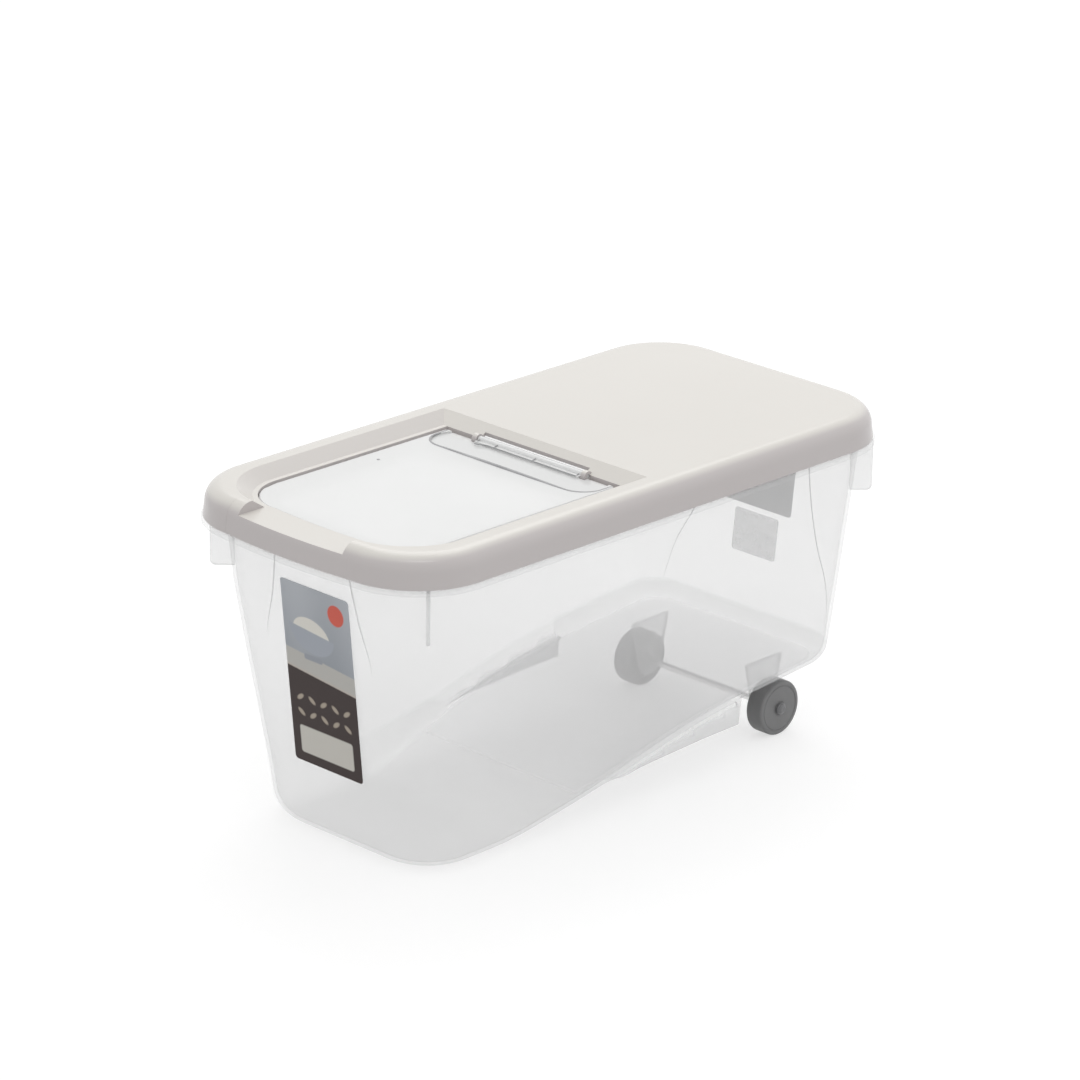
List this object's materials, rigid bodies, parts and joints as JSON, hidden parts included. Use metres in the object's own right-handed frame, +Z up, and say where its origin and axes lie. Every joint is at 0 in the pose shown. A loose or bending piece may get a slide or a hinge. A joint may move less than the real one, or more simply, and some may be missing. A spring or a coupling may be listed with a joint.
{
  "type": "rice bin",
  "caption": "Long wheeled bin for rice: translucent tapered tub, lift-off cover and a clear flip-up flap over the front scooping opening.",
  "frame": {"origin": "on the ground, at the centre of the bounding box of the closed bin", "axes": "+X to the side, +Y along the length from the flap end to the wheel end, +Z up"},
  "size_m": [0.236, 0.48, 0.24],
  "materials": {
    "tub_plastic": "translucent natural polypropylene, softly frosted",
    "cover_plastic": "opaque cream, satin",
    "clear_plastic": "milky clear, glossy",
    "steel": "plain zinc",
    "wheel_plastic": "grey, satin",
    "front_sticker": null,
    "rear_sticker_upper": "plain grey sheet",
    "rear_sticker_lower": "plain light sheet"
  },
  "bodies": {
    "tub": {"tub": "tub_plastic", "axle": "steel", "wheel_cap_right": "steel", "wheel_cap_left": "steel", "front_label": "front_sticker", "rear_label_upper": "rear_sticker_upper", "rear_label_lower": "rear_sticker_lower"},
    "cover": {"cover": "cover_plastic"},
    "flap": {"flap": "clear_plastic"},
    "wheel_right": {"wheel_right": "wheel_plastic"},
    "wheel_left": {"wheel_left": "wheel_plastic"}
  },
  "joints": [
    {"name": "cover_lift", "type": "slide", "parent": "tub", "child": "cover", "axis": [0, 0, 1], "range_m": [0, 0.06]},
    {"name": "flap_hinge", "type": "hinge", "parent": "cover", "child": "flap", "pos_m": [0, -0.012, 0.232], "axis": [-1, 0, 0], "range_deg": [0, 105]},
    {"name": "wheel_right_spin", "type": "hinge", "parent": "tub", "child": "wheel_right", "pos_m": [0.064, 0.169, 0.02], "axis": [1, 0, 0], "continuous": true},
    {"name": "wheel_left_spin", "type": "hinge", "parent": "tub", "child": "wheel_left", "pos_m": [-0.064, 0.169, 0.02], "axis": [1, 0, 0], "continuous": true}
  ]
}
